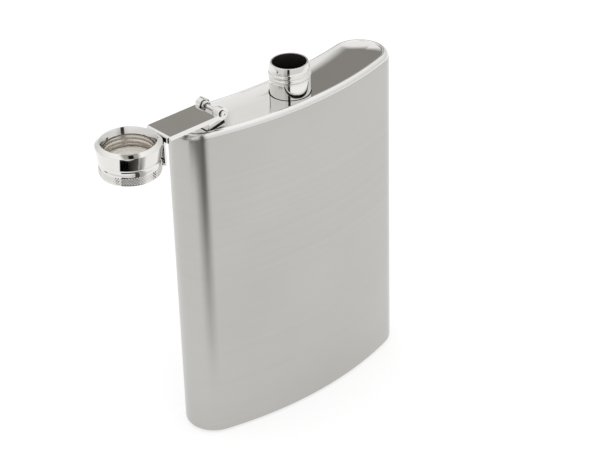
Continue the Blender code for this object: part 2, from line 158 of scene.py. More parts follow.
def activate(piece: bpy.types.Object) -> None:
    """Make `piece` the only selected object and the active one."""
    clear_selection()
    piece.select_set(True)
    bpy.context.view_layer.objects.active = piece


def name_new(name: str) -> bpy.types.Object:
    """Name the primitive just added, put its place in its mesh and return it."""
    piece = bpy.context.object
    piece.name = name
    piece.data.name = name
    bpy.ops.object.transform_apply(location=True, rotation=True, scale=True)
    return piece


def place_new(name: str, data: object) -> bpy.types.Object:
    """New object holding `data`, linked into the scene."""
    made = bpy.data.objects.new(name, data)
    bpy.context.scene.collection.objects.link(made)
    return made


def facing(place: Vector, away: Vector) -> Matrix:
    """Transform at `place` with its Z axis along `away`."""
    return Matrix.Translation(place) @ away.to_track_quat("Z", "Y").to_matrix().to_4x4()


def measures(node: str, origin: float) -> tuple[float, float, float]:
    """Size of a turned frame node.

    Args:
        node: Name of the node.
        origin: Height that the levels count from, in metres.

    Returns:
        Its radius and its lowest and highest level, in millimetres.
    """
    low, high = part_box(node)
    return (high.x - low.x) / 2 / MM, (low.z - origin) / MM, (high.z - origin) / MM


@contextmanager
def editing(piece: bpy.types.Object, kind: str = "VERT") -> Iterator[None]:
    """Edit mode on one piece.

    Args:
        piece: The piece to work on.
        kind: Selection mode, VERT, EDGE or FACE.
    """
    activate(piece)
    bpy.ops.object.mode_set(mode="EDIT")
    bpy.ops.mesh.select_mode(type=kind)
    yield
    bpy.ops.object.mode_set(mode="OBJECT")


def select_whole() -> None:
    """Select all of the mesh in edit mode."""
    bpy.ops.mesh.select_all(action="SELECT")


def select_where(piece: bpy.types.Object, kind: str, test: Callable) -> None:
    """Select the vertices, edges or faces of a piece in edit mode that pass a test.

    Args:
        piece: The piece in edit mode.
        kind: "verts", "edges" or "faces".
        test: Takes the element and says whether it is wanted.
    """
    mesh = bmesh.from_edit_mesh(piece.data)
    bpy.ops.mesh.select_all(action="DESELECT")
    for item in getattr(mesh, kind):
        if test(item):
            item.select_set(True)
    mesh.select_flush_mode()
    bmesh.update_edit_mesh(piece.data)


def apply_modifier(piece: bpy.types.Object, kind: str, **settings: object) -> None:
    """Add a modifier to a piece, set it and apply it.

    Args:
        piece: The piece to change.
        kind: Blender's name of the modifier type.
        settings: The modifier's own settings.
    """
    activate(piece)
    modifier = piece.modifiers.new(kind.lower(), kind)
    for key, value in settings.items():
        setattr(modifier, key, value)
    bpy.ops.object.modifier_apply(modifier=modifier.name)


def smooth(piece: bpy.types.Object, angle: float = 35.0) -> None:
    """Shade a piece smooth, with edges sharper than `angle` degrees kept."""
    activate(piece)
    bpy.ops.object.shade_smooth_by_angle(angle=math.radians(angle))


def outward(piece: bpy.types.Object) -> None:
    """Merge doubled vertices and turn every face of a piece outwards."""
    with editing(piece):
        select_whole()
        bpy.ops.mesh.remove_doubles(threshold=TINY)
        bpy.ops.mesh.normals_make_consistent(inside=False)


def join(pieces: Sequence[bpy.types.Object]) -> bpy.types.Object:
    """Join several pieces into the first of them and return it."""
    activate(pieces[0])
    for piece in pieces[1:]:
        piece.select_set(True)
    bpy.ops.object.join()
    return pieces[0]


@dataclass
class Lathe:
    """Turned piece: a ring that is extruded and resized along a profile.

    Attributes:
        name: Name of the piece.
        centre: Point on the axis that the profile's heights count from, in metres.
        profile: (radius, height) points.
        closed: Whether the profile runs back to its start; if not, both ends are capped.
        count: Vertices round the piece.
    """

    name: str
    centre: Vector
    profile: list[Point]
    closed: bool = True
    count: int = 144

    def at(self, height: float) -> Vector:
        """Point on the axis at a height of the profile."""
        return self.centre + Vector((0, 0, height * MM))

    def select_rings(self, piece: bpy.types.Object, first: bool, last: bool) -> None:
        """Select the first ring, the last ring or both, in edit mode."""
        total = len(bmesh.from_edit_mesh(piece.data).verts)
        select_where(piece, "verts", lambda vert: (first and vert.index < self.count)
                     or (last and vert.index >= total - self.count))

    def build(self) -> bpy.types.Object:
        """Turn the piece and return it, its axis upright."""
        radius, height = self.profile[0]
        clear_selection()
        bpy.ops.mesh.primitive_circle_add(vertices=self.count, radius=radius * MM,
                                          location=self.at(height))
        piece = name_new(self.name)
        with editing(piece):
            select_whole()
            for before, after in pairwise(self.profile):
                bpy.ops.mesh.extrude_region()
                bpy.ops.transform.translate(value=(0, 0, (after[1] - before[1]) * MM))
                grow = after[0] / before[0]
                bpy.ops.transform.resize(value=(grow, grow, 1),
                                         center_override=self.at(after[1]))
            if self.closed:
                self.select_rings(piece, first=True, last=True)
                bpy.ops.mesh.bridge_edge_loops()
            else:
                bpy.ops.mesh.edge_face_add()
                self.select_rings(piece, first=True, last=False)
                bpy.ops.mesh.edge_face_add()
        outward(piece)
        smooth(piece)
        return piece


@dataclass(frozen=True)
class Thread:
    """Rolled screw thread on a turned piece.

    Attributes:
        root: Radius that the thread stands on.
        depth: Height of its crest over the root, negative inside a bore.
        pitch: Rise of one turn.
        low: Where it starts.
        high: Where it ends.
        narrow: Power that widens the crest and narrows the groove.
    """

    root: float
    depth: float
    pitch: float
    low: float
    high: float
    narrow: float = 3.0

    def rows(self) -> list[Point]:
        """Profile points that carry the thread, sixteen to a turn."""
        count = math.ceil((self.high - self.low) / self.pitch * 16)
        step = (self.high - self.low) / count
        return [(self.root, self.low + step * row) for row in range(count + 1)]

    def ridge(self, height: float, angle: float) -> float:
        """Share of the full depth at a height and an angle, faded at both ends."""
        fade = min(1.0, (height - self.low) / self.pitch, (self.high - height) / self.pitch)
        if fade <= 0:
            return 0.0
        turn = math.pi * (height - self.low) / self.pitch - angle / 2
        return math.sin(fade * math.pi / 2) * (1 - abs(math.sin(turn)) ** self.narrow)

    def roll(self, piece: bpy.types.Object, centre: Vector) -> None:
        """Press the thread into the rows of a turned piece.

        Args:
            piece: The piece whose profile holds `rows()`.
            centre: Point on its axis that heights count from, in metres.
        """
        for vert in piece.data.vertices:
            out = Vector((vert.co.x - centre.x, vert.co.y - centre.y))
            if abs(out.length - self.root * MM) > TINY:
                continue
            height = (vert.co.z - centre.z) / MM
            push = self.depth * self.ridge(height, math.atan2(out.y, out.x)) * MM
            out *= push / out.length
            vert.co += Vector((out.x, out.y, 0))
        piece.data.update()


def eased_copy(node: bpy.types.Object, name: str, ease: float) -> bpy.types.Object:
    """Copy of a frame node with its facets merged and its edges eased.

    Args:
        node: The frame's node.
        name: Name of the copy.
        ease: Width of the eased edges.

    Returns:
        The new piece.
    """
    piece = place_new(name, node.data.copy())
    piece.data.materials.clear()
    with editing(piece):
        select_whole()
        bpy.ops.mesh.remove_doubles(threshold=TINY)
        bpy.ops.mesh.dissolve_limited(angle_limit=math.radians(1))
        bpy.ops.mesh.normals_make_consistent(inside=False)
    apply_modifier(piece, "BEVEL", width=ease * MM, segments=3, limit_method="ANGLE",
                   angle_limit=math.radians(35))
    smooth(piece, 40)
    apply_modifier(piece, "WEIGHTED_NORMAL", keep_sharp=True)
    return piece


# ---------------------------------------------------------------- shader trees

class Graph:
    """Short way to place and join the nodes of one tree."""

    def __init__(self, tree: bpy.types.NodeTree) -> None:
        """Work on `tree`."""
        self.tree = tree

    def add(self, kind: str, inputs: dict | None = None, **settings: object) -> bpy.types.Node:
        """Place a node.

        Args:
            kind: Blender's type name without its ShaderNode prefix.
            inputs: Values or sockets by the name or number of the input.
            settings: The node's own settings.

        Returns:
            The node.
        """
        node = self.tree.nodes.new("ShaderNode" + kind)
        for key, value in settings.items():
            setattr(node, key, value)
        self.fill(node, inputs or {})
        return node

    def fill(self, node: bpy.types.Node, inputs: dict) -> None:
        """Give a node's inputs their values, or link sockets to them."""
        for key, value in inputs.items():
            if isinstance(value, bpy.types.NodeSocket):
                self.tree.links.new(value, node.inputs[key])
            else:
                node.inputs[key].default_value = value

    def maths(self, operation: str, *values: object) -> bpy.types.NodeSocket:
        """Result of a Math node on numbers or sockets."""
        node = self.add("Math", dict(enumerate(values)), operation=operation)
        return node.outputs[0]

    def blend(self, factor: object, first: Colour, second: Colour) -> bpy.types.NodeSocket:
        """Colour between `first` and `second`."""
        node = self.add("Mix", {0: factor}, data_type="RGBA")
        ends = [socket for socket in node.inputs if socket.type == "RGBA"]
        for socket, colour in zip(ends, (first, second)):
            socket.default_value = (*colour, 1.0)
        return next(socket for socket in node.outputs if socket.type == "RGBA")

    def noise(self, vector: object, scale: object, detail: float) -> bpy.types.NodeSocket:
        """Value of a noise texture."""
        node = self.add("TexNoise", {"Vector": vector, "Scale": scale, "Detail": detail})
        return node.outputs["Fac"]

    def spread(self, value: object, low: float, high: float,
               to_low: float = 0.0, to_high: float = 1.0) -> bpy.types.NodeSocket:
        """`value` mapped from low..high to to_low..to_high and held there."""
        inputs = {"Value": value, "From Min": low, "From Max": high,
                  "To Min": to_low, "To Max": to_high}
        return self.add("MapRange", inputs, clamp=True).outputs["Result"]


@dataclass(frozen=True)
class GroupSpec:
    """Sockets of a shared node group: name, kind and, for an input, its start value."""

    name: str
    inputs: tuple[tuple[str, str, object], ...]
    outputs: tuple[tuple[str, str], ...]

    def open(self) -> tuple[bpy.types.NodeTree, Graph, bpy.types.Node, bpy.types.Node]:
        """New group with its sockets, its graph, and its input and output nodes."""
        tree = bpy.data.node_groups.new(self.name, "ShaderNodeTree")
        for name, kind, start in self.inputs:
            socket = tree.interface.new_socket(name, in_out="INPUT", socket_type=kind)
            if start is not None:
                socket.default_value = start
        for name, kind in self.outputs:
            tree.interface.new_socket(name, in_out="OUTPUT", socket_type=kind)
        source = tree.nodes.new("NodeGroupInput")
        sink = tree.nodes.new("NodeGroupOutput")
        return tree, Graph(tree), source, sink


GRAIN = GroupSpec("steel_grain",
                  (("Vector", "NodeSocketVector", None),
                   ("Along", "NodeSocketFloat", 40.0),
                   ("Across", "NodeSocketFloat", 3000.0)),
                  (("Height", "NodeSocketFloat"), ("Bands", "NodeSocketFloat")))
HANDLING = GroupSpec("handling_marks",
                     (("Vector", "NodeSocketVector", None),
                      ("Scale", "NodeSocketFloat", 60.0)),
                     (("Smudge", "NodeSocketFloat"), ("Hairline", "NodeSocketFloat")))


def grain_group() -> bpy.types.NodeTree:
    """Level rubbing lines: fine height and broad, faint bands."""
    found = bpy.data.node_groups.get(GRAIN.name)
    if found is not None:
        return found
    tree, graph, source, sink = GRAIN.open()
    along, across = source.outputs["Along"], source.outputs["Across"]
    stretch = graph.add("CombineXYZ", {"X": along, "Y": along, "Z": across})
    lines = graph.add("VectorMath", {0: source.outputs["Vector"], 1: stretch.outputs[0]},
                      operation="MULTIPLY")
    coarse = graph.add("VectorMath", {0: lines.outputs[0], 1: (0.4, 0.4, 0.08)},
                       operation="MULTIPLY")
    fine = graph.noise(lines.outputs[0], 1.0, 3.0)
    broad = graph.noise(coarse.outputs[0], 1.0, 2.0)
    graph.fill(sink, {"Height": graph.spread(fine, 0.3, 0.7),
                      "Bands": graph.spread(broad, 0.25, 0.75)})
    return tree


def handling_group() -> bpy.types.NodeTree:
    """Wiping smudges and a few hairline scratches."""
    found = bpy.data.node_groups.get(HANDLING.name)
    if found is not None:
        return found
    tree, graph, source, sink = HANDLING.open()
    vector, scale = source.outputs["Vector"], source.outputs["Scale"]
    smudge = graph.spread(graph.noise(vector, scale, 4.0), 0.4, 0.75)
    turned = graph.add("Mapping", {"Vector": vector, "Rotation": (0.5, 0.3, 0.7),
                                   "Scale": (1.0, 0.12, 1.0)})
    cells = graph.add("TexVoronoi", {"Vector": turned.outputs[0],
                                     "Scale": graph.maths("MULTIPLY", scale, 4.0)},
                      feature="DISTANCE_TO_EDGE")
    line = graph.spread(cells.outputs["Distance"], 0.0, 0.02, 1.0, 0.0)
    patches = graph.spread(graph.noise(vector, scale, 1.0), 0.55, 0.65)
    graph.fill(sink, {"Smudge": smudge, "Hairline": graph.maths("MULTIPLY", line, patches)})
    return tree


# ---------------------------------------------------------------- finishes

@dataclass(frozen=True)
class Finish:
    """One surface finish and the material that shows it.

    Attributes:
        name: Name of the material.
        slot: The record's slot that it stands for; not used.
        colour: Base colour where the surface is clean.
        worn: Base colour in the bands and smudges.
        roughness: Roughness of the clean surface.
        spread: Extra roughness in bands and smudges.
        metallic: 1 for steel.
        along: Grain repeats per metre along its lines.
        across: Grain repeats per metre across its lines.
        relief: Depth of the grain.
        marks: Repeats per metre of the handling marks.
        anisotropy: Stretch of the gloss by the grain.
        banding: Weight of the broad bands in the grain.
    """

    name: str
    slot: Slot
    colour: Colour
    worn: Colour
    roughness: float
    spread: float
    metallic: float = 1.0
    along: float = 40.0
    across: float = 3000.0
    relief: float = 0.002
    marks: float = 60.0
    anisotropy: float = 0.0
    banding: float = 0.3

    def material(self) -> bpy.types.Material:
        """The finish's material, made once."""
        found = bpy.data.materials.get(self.name)
        if found is not None:
            return found
        made = bpy.data.materials.new(self.name)
        made.use_nodes = True
        graph = Graph(made.node_tree)
        place = graph.add("TexCoord").outputs["Object"]
        grain = graph.add("Group", {"Vector": place, "Along": self.along,
                                    "Across": self.across}, node_tree=grain_group())
        marks = graph.add("Group", {"Vector": place, "Scale": self.marks},
                          node_tree=handling_group())
        bands = graph.maths("MULTIPLY", grain.outputs["Bands"], self.banding)
        wear = graph.maths("MULTIPLY_ADD", marks.outputs["Smudge"], 0.5, bands)
        tint = graph.blend(wear, self.colour, self.worn)
        scratch = graph.maths("MULTIPLY", marks.outputs["Hairline"], 0.25)
        height = graph.maths("SUBTRACT", grain.outputs["Height"], scratch)
        bump = graph.add("Bump", {"Strength": 1.0, "Distance": self.relief * MM,
                                  "Height": height})
        shader = made.node_tree.nodes["Principled BSDF"]
        rough = graph.spread(wear, 0.0, 1.0, self.roughness, self.roughness + self.spread)
        graph.fill(shader, {"Base Color": tint, "Roughness": rough,
                            "Normal": bump.outputs["Normal"], "Metallic": self.metallic,
                            "Anisotropic": self.anisotropy,
                            "Anisotropic Rotation": QUARTER_TURN})
        return made


SATIN = Finish("satin_steel_wrap", Slot.SATIN, (0.50, 0.495, 0.475), (0.43, 0.42, 0.39),
               0.24, 0.05, along=3.0, across=5000.0, relief=0.0018, marks=14.0,
               anisotropy=0.6, banding=0.2)
MIRROR = Finish("mirror_polish", Slot.POLISHED, (0.79, 0.78, 0.76), (0.72, 0.71, 0.68),
                0.05, 0.04, along=20.0, across=1500.0, relief=0.0002, marks=60.0)
TURNED = Finish("turned_steel", Slot.PLAIN, (0.62, 0.58, 0.53), (0.52, 0.48, 0.43),
                0.24, 0.10, along=20.0, across=6000.0, relief=0.003, marks=90.0)
# Painted shade: near-black steel for the spout's bore, the body's inside and the lower part of
# the rim's roll, standing in for the shade in those hollows and that crease.
PAINTED_SHADE = Finish("painted_shade_inside", Slot.PLAIN, (0.10, 0.095, 0.085), (0.05, 0.05, 0.045),
                0.45, 0.15, along=20.0, across=900.0, relief=0.004, marks=40.0)
# Painted highlight: a lighter copy of the satin finish for the outside of the rolled rim; its
# raised base colour paints in the rim's highlight, and its lower roughness makes it a little
# smoother.
RIM_HIGHLIGHT = Finish("rim_painted_highlight", Slot.SATIN, (0.80, 0.795, 0.78), (0.74, 0.73, 0.71),
                0.20, 0.04, along=3.0, across=5000.0, relief=0.0008, marks=12.0,
                anisotropy=0.3, banding=0.1)
RUBBER = Finish("pale_rubber", Slot.RUBBER, (0.70, 0.67, 0.61), (0.62, 0.59, 0.53),
                0.50, 0.12, metallic=0.0, along=400.0, across=400.0, relief=0.01, marks=120.0)


def dress(piece: bpy.types.Object, *finishes: Finish) -> None:
    """Add the materials of several finishes to a piece, in order."""
    for finish in finishes:
        piece.data.materials.append(finish.material())


def dress_painted_shade(piece: bpy.types.Object, finish: Finish, test: Callable) -> None:
    """Give a piece its finish outside, and painted shade on the faces that a test picks as
    inside.

    Args:
        piece: The finished piece.
        finish: Finish of the outside.
        test: Takes a face and says whether it is inside and gets the painted shade.
    """
    dress(piece, finish, PAINTED_SHADE)
    for face in piece.data.polygons:
        if test(face):
            face.material_index = 1


def fit(piece: bpy.types.Object, body: Body, finish: Finish, *nodes: str) -> None:
    """Dress a piece, make it ride on its body and stand for its frame nodes.

    Args:
        piece: The finished piece.
        body: The body it moves with.
        finish: Its finish.
        nodes: Frame nodes that it stands for.
    """
    if not piece.data.materials:
        dress(piece, finish)
    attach(piece, body.value)
    if nodes:
        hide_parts(*nodes)
    LOG.info("%s: %d faces on %s", piece.name, len(piece.data.polygons), body.value)


def redress(node: bpy.types.Object, finish: Finish) -> None:
    """Give a frame node that stays in view its finish."""
    for place in node.material_slots:
        place.material = finish.material()
    if not node.material_slots:
        dress(node, finish)
    LOG.info("%s: frame node kept", node.name)


# ---------------------------------------------------------------- body

@dataclass(frozen=True)
class Section:
    """Kidney-shaped section: convex front, hollow back and two round ends, all tangent.

    Attributes:
        width: Overall width.
        depth: Front to back in the middle.
        front_bow: How far the front bulges over the full width.
        back_bow: How deep the hollow back is over the full width.
        face_steps: Chords of the front and of the back.
        end_steps: Chords of each end.
    """

    width: float
    depth: float
    front_bow: float = 8.5
    back_bow: float = 7.1
    face_steps: int = 64
    end_steps: int = 48

    def face_radius(self, bow: float) -> float:
        """Radius of a face with that bow over the full width."""
        return ((self.width / 2) ** 2 + bow ** 2) / (2 * bow)

    def end_arc(self) -> tuple[float, float, float]:
        """Radius of the end arcs and the centre (x, y) of the right one."""
        front, back = self.face_radius(self.front_bow), self.face_radius(self.back_bow)
        front_y, back_y = front - self.depth / 2, back + self.depth / 2
        low, high = 0.0, self.depth
        for _ in range(60):
            radius = (low + high) / 2
            squares = (back + radius) ** 2 - (front - radius) ** 2
            end_y = (back_y ** 2 - front_y ** 2 - squares) / (2 * (back_y - front_y))
            if math.hypot(self.width / 2 - radius, front_y - end_y) > front - radius:
                high = radius
            else:
                low = radius
        return radius, self.width / 2 - radius, end_y

    def draw(self, name: str) -> bpy.types.Object:
        """Outline at height 0, drawn by spinning one point about the four arc centres."""
        front, back = self.face_radius(self.front_bow), self.face_radius(self.back_bow)
        front_y, back_y = front - self.depth / 2, back + self.depth / 2
        _, end_x, end_y = self.end_arc()
        face = math.atan2(end_x, front_y - end_y)
        hollow = math.atan2(end_x, back_y - end_y)
        start = Vector((-front * math.sin(face), front_y - front * math.cos(face), 0))
        spins = [((0, front_y), 2 * face, self.face_steps),
                 ((end_x, end_y), math.pi - face + hollow, self.end_steps),
                 ((0, back_y), -2 * hollow, self.face_steps),
                 ((-end_x, end_y), math.pi - face + hollow, self.end_steps)]
        clear_selection()
        bpy.ops.mesh.primitive_plane_add(size=MM, location=start * MM)
        piece = name_new(name)
        with editing(piece):
            select_whole()
            bpy.ops.mesh.merge(type="CENTER")
            for (x, y), angle, steps in spins:
                bpy.ops.mesh.spin(steps=steps, angle=angle, center=(x * MM, y * MM, 0),
                                  axis=(0, 0, -1))
            select_whole()
            bpy.ops.mesh.remove_doubles(threshold=TINY)
        return piece


@dataclass
class FlaskBody:
    """Wrapped sheet of the body, with the foot and the top rim rolled in.

    Attributes:
        low: Lowest corner of the frame's wall, in metres.
        high: Highest corner of the frame's wall, in metres.
        depth: Front to back in the middle of the width.
        sheet: Thickness of the sheet.
        foot_round: Rounding of the bottom edge.
        foot_lip: Flat lip past that rounding.
        rim_reach: Outside of the wall to the rim's crest.
        rim_drop: Height of the rounding below the crest.
        rim_roll: Inner rounding of the rim.
        rim_skirt: Straight end of the roll, down towards the shoulder plate.
        roll_steps: Chords of that roll.
        painted_shade_share: Part of the roll's height, from below, that gets the painted shade
            of the crease.
        highlight_gap: Lower part of the rounded edge that keeps the body's finish, below the
            painted highlight.
        support: Height between a rounded edge and the cut that keeps the wall flat.
    """

    low: Vector
    high: Vector
    depth: float = 23.3
    sheet: float = 0.55
    foot_round: float = 1.4
    foot_lip: float = 0.4
    rim_reach: float = 1.8
    rim_drop: float = 2.5
    rim_roll: float = 0.6
    rim_skirt: float = 0.15
    roll_steps: int = 6
    painted_shade_share: float = 0.6
    highlight_gap: float = 0.7
    support: float = 1.2

    def section(self) -> Section:
        """Section of the wall, as wide as the frame's."""
        return Section((self.high.x - self.low.x) / MM, self.depth)

    @staticmethod
    def level(piece: bpy.types.Object, z: float) -> None:
        """Select what lies at one height."""
        select_where(piece, "verts", lambda vert: abs(vert.co.z - z) < TINY)

    @staticmethod
    def end_face(piece: bpy.types.Object, z: float) -> None:
        """Select the wide face that closes the wall at one height."""
        select_where(piece, "faces", lambda item: len(item.verts) > 4
                     and abs(item.calc_center_median().z - z) < TINY)

    @staticmethod
    def paint_shade_on_end(piece: bpy.types.Object) -> None:
        """Give the selected end face, and what is inset from it, the painted shade."""
        for face in bmesh.from_edit_mesh(piece.data).faces:
            if face.select:
                face.material_index = 1

    def raise_wall(self) -> bpy.types.Object:
        """Closed prism of the section, with support cuts that keep the sides flat."""
        piece = self.section().draw("flask_wall")
        height = self.high.z
        with editing(piece):
            select_whole()
            bpy.ops.mesh.edge_face_add()
            bpy.ops.mesh.extrude_region()
            bpy.ops.transform.translate(value=(0, 0, height))
            select_whole()
            bpy.ops.mesh.normals_make_consistent(inside=False)
            top = height - (self.rim_drop + self.support) * MM
            foot = (self.foot_round + self.support) * MM
            for cut in (foot, height / 2, top):
                select_whole()
                bpy.ops.mesh.bisect(plane_co=(0, 0, cut), plane_no=(0, 0, 1))
        return piece

    def roll_rim(self, piece: bpy.types.Object) -> None:
        """Round the top edge over, then roll it in and down towards the shoulder."""
        top = self.high.z
        with editing(piece):
            self.level(piece, top)
            bpy.ops.mesh.bevel(offset=self.rim_reach * MM, segments=9, affect="EDGES")
            limit = top - self.rim_reach * MM - TINY
            select_where(piece, "verts", lambda vert: vert.co.z > limit)
            bpy.ops.transform.resize(value=(1, 1, self.rim_drop / self.rim_reach),
                                     center_override=(0, 0, top))
            self.end_face(piece, top)
            turns = arc((0, 0), [self.rim_roll * MM] * 2, 90, 0, self.roll_steps)
            for before, after in pairwise(turns):
                # The lower part of the roll gets painted shade, standing in for the shade in
                # the crease between the rim and the shoulder plate.
                if before[1] < self.painted_shade_share * self.rim_roll * MM:
                    self.paint_shade_on_end(piece)
                bpy.ops.mesh.inset(thickness=after[0] - before[0], depth=after[1] - before[1])
            bpy.ops.mesh.inset(thickness=0.0, depth=-self.rim_skirt * MM)
            bpy.ops.mesh.delete(type="ONLY_FACE")

    def roll_foot(self, piece: bpy.types.Object) -> None:
        """Round the bottom edge and leave a flat lip for the base plate."""
        with editing(piece):
            self.level(piece, 0.0)
            bpy.ops.mesh.bevel(offset=self.foot_round * MM, segments=5, affect="EDGES")
            self.end_face(piece, 0.0)
            bpy.ops.mesh.inset(thickness=self.foot_lip * MM)
            bpy.ops.mesh.delete(type="ONLY_FACE")

    def build(self) -> bpy.types.Object:
        """Wall of sheet steel, open at the shoulder and at the base."""
        piece = self.raise_wall()
        self.roll_rim(piece)
        self.roll_foot(piece)
        # The inner faces that Solidify adds take the second material, the painted shade of the
        # body's dark inside.
        dress(piece, SATIN, PAINTED_SHADE)
        apply_modifier(piece, "SOLIDIFY", thickness=self.sheet * MM, offset=-1,
                       use_even_offset=True, material_offset=1)
        smooth(piece, 40)
        self.paint_rim_highlight(piece)
        return piece

    def paint_rim_highlight(self, piece: bpy.types.Object) -> None:
        """Painted highlight on the outside of the rolled rim: a lighter, slightly smoother copy
        of the body's finish.
        """
        dress(piece, RIM_HIGHLIGHT)
        limit = self.high.z - (self.rim_drop - self.highlight_gap) * MM
        for face in piece.data.polygons:
            if face.material_index == 0 and face.center.z > limit:
                face.material_index = 2


# ---------------------------------------------------------------- shoulder

@dataclass
class Shoulder:
    """Polished plate inside the rim, dished up towards the hollow back and the ends.

    Attributes:
        section: Section of the body.
        top: Height of the plate's flat, in metres.
        edge: Outside of the wall to the plate's edge.
        sheet: Thickness of the plate.
        dish: Width of the dished border.
        rise: Height of the border's edge over the flat, at the back.
        hole: Radius of the hole for the neck.
        steps: Rings of the border.
        ends: Share of the rise at the ends; the back has all of it and the front none.
    """

    section: Section
    top: float
    edge: float = 2.45
    sheet: float = 0.5
    dish: float = 7.5
    rise: float = 0.85
    hole: float = 7.5
    steps: int = 16
    ends: float = 0.9

    def lay_out(self) -> bpy.types.Object:
        """Flat plate of rings, one inside the other."""
        piece = self.section.draw("shoulder_dish")
        with editing(piece, "FACE"):
            select_whole()
            bpy.ops.transform.translate(value=(0, 0, self.top))
            bpy.ops.mesh.edge_face_add()
            select_whole()
            bpy.ops.mesh.inset(thickness=self.edge * MM)
            select_where(piece, "faces", lambda face: len(face.verts) == 4)
            bpy.ops.mesh.delete(type="FACE")
            select_whole()
            for _ in range(self.steps):
                bpy.ops.mesh.inset(thickness=self.dish * MM / self.steps)
        return piece

    def press(self, piece: bpy.types.Object, outline: KDTree) -> None:
        """Lift the border of the flat plate.

        Args:
            piece: The flat plate.
            outline: Points of the body's outline at the plate's height.
        """
        for vert in piece.data.vertices:
            near, _, distance = outline.find(vert.co)
            side = (near - vert.co).y / distance
            share = min(1.0, max(0.0, self.ends + self.ends * side))
            reach = max(0.0, 1 - (distance / MM - self.edge) / self.dish)
            vert.co.z += self.rise * MM * share * reach ** 2
        piece.data.update()

    def build(self) -> bpy.types.Object:
        """Plate with its dished border and the hole for the neck."""
        drawn = self.section.draw("shoulder_outline")
        outline = KDTree(len(drawn.data.vertices))
        for vert in drawn.data.vertices:
            outline.insert((vert.co.x, vert.co.y, self.top), vert.index)
        outline.balance()
        bpy.data.objects.remove(drawn)
        piece = self.lay_out()
        self.press(piece, outline)
        with editing(piece):
            select_whole()
            bpy.ops.mesh.normals_make_consistent(inside=False)
            mesh = bmesh.from_edit_mesh(piece.data)
            if sum(face.normal.z * face.calc_area() for face in mesh.faces) < 0:
                bpy.ops.mesh.flip_normals()
        apply_modifier(piece, "SOLIDIFY", thickness=self.sheet * MM, offset=-1)
        clear_selection()
        bpy.ops.mesh.primitive_cylinder_add(vertices=144, radius=self.hole * MM, depth=8 * MM,
                                            location=(0, 0, self.top))
        punch = name_new("shoulder_punch")
        apply_modifier(piece, "BOOLEAN", operation="DIFFERENCE", solver="EXACT", object=punch)
        bpy.data.objects.remove(punch)
        smooth(piece, 40)
        return piece


# ---------------------------------------------------------------- neck

@dataclass
class Neck:
    """Spout: hidden flange, plain foot, rolled thread and tapered mouth.

    Attributes:
        shoulder: Height of the shoulder plate's top, in metres.
        bore: Radius of the bore.
        plain: Radius below the thread.
        crest: Radius of the thread's crest.
        mouth: Outside radius of the mouth.
        groove: Depth of the thread.
        pitch: Rise of one turn.
        thread_length: Height of the threaded part.
        lead_in: Tapered part above the thread.
        flange_sheet: Thickness of the hidden flange.
    """

    shoulder: float
    bore: float = 5.95
    plain: float = 7.2
    crest: float = 7.5
    mouth: float = 6.65
    groove: float = 0.5
    pitch: float = 1.7
    thread_length: float = 4.3
    lead_in: float = 1.9
    flange_sheet: float = 0.8

    def build(self) -> bpy.types.Object:
        """Turn the spout and roll its thread."""
        flange, foot, top = measures("neck_tube", self.shoulder)
        root = self.crest - self.groove
        thread_top = top - self.lead_in
        thread = Thread(root, self.groove, self.pitch, thread_top - self.thread_length,
                        thread_top)
        outline = [(self.bore, foot, 0.1), (flange, foot, 0.1),
                   (flange, foot + self.flange_sheet, 0.1),
                   (self.plain, foot + self.flange_sheet, 0.0),
                   (self.plain, thread.low - 0.15, 0.1)]
        outline += corners_of(thread.rows())
        outline += [(root + 0.1, thread.high + 0.2, 0.0), (self.mouth, top, 0.22),
                    (self.bore, top, 0.25)]
        centre = Vector((0, 0, self.shoulder))
        piece = Lathe("neck", centre, rounded(outline)).build()
        thread.roll(piece, centre)
        # The bore's faces get painted shade, standing in for the dark inside of the spout.
        edge = (self.bore + 0.12) * MM
        dress_painted_shade(piece, MIRROR, lambda face: face.center.xy.length < edge)
        return piece


# ---------------------------------------------------------------- hinge and arm

@dataclass
class HingeArm:
    """Arm, its bracket and the riveted pin that joins them.

    Attributes:
        nodes: The frame's nodes by name.
        ease: Width of the eased sheet edges.
        pin_radius: Radius of the pin.
        head_radius: Radius of its heads.
        head: Thickness of a head.
        dimple: Radius of the dimple in a head.
    """

    nodes: dict
    ease: float = 0.12
    pin_radius: float = 0.8
    head_radius: float = 1.4
    head: float = 0.45
    dimple: float = 0.55

    def build_pin(self) -> bpy.types.Object:
        """Pin with a domed, dimpled head at each end, turned upright and laid along Y."""
        low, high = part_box("hinge_pin")
        centre = (low + high) / 2
        half = (high.y - low.y) / 2 / MM
        inside = half - self.head
        end = [(self.pin_radius, inside, 0.0), (self.head_radius, inside, 0.05)]
        end += [(self.head_radius, half - 0.2, 0.1), (self.head_radius - 0.3, half, 0.1)]
        end += [(self.dimple, half, 0.08), (self.dimple * 0.5, half - 0.3, 0.1)]
        points = rounded([(0.2, -half + 0.3, 0.0), *[(r, -z, e) for r, z, e in reversed(end)],
                          *end, (0.2, half - 0.3, 0.0)])
        piece = Lathe("arm_pin", centre, points, closed=False, count=64).build()
        with editing(piece):
            select_whole()
            bpy.ops.transform.rotate(value=math.pi / 2, orient_axis="X",
                                     center_override=centre)
        return piece

    def build(self) -> None:
        """Ease the arm and the bracket, and turn the pin."""
        arm = eased_copy(self.nodes["cap_arm"], "arm_plate", self.ease)
        fit(arm, Body.ARM, MIRROR, "cap_arm")
        bracket = eased_copy(self.nodes["hinge_bracket"], "arm_bracket", self.ease)
        fit(bracket, Body.FLASK, MIRROR, "hinge_bracket")
        fit(self.build_pin(), Body.FLASK, MIRROR, "hinge_pin")


# ---------------------------------------------------------------- cap

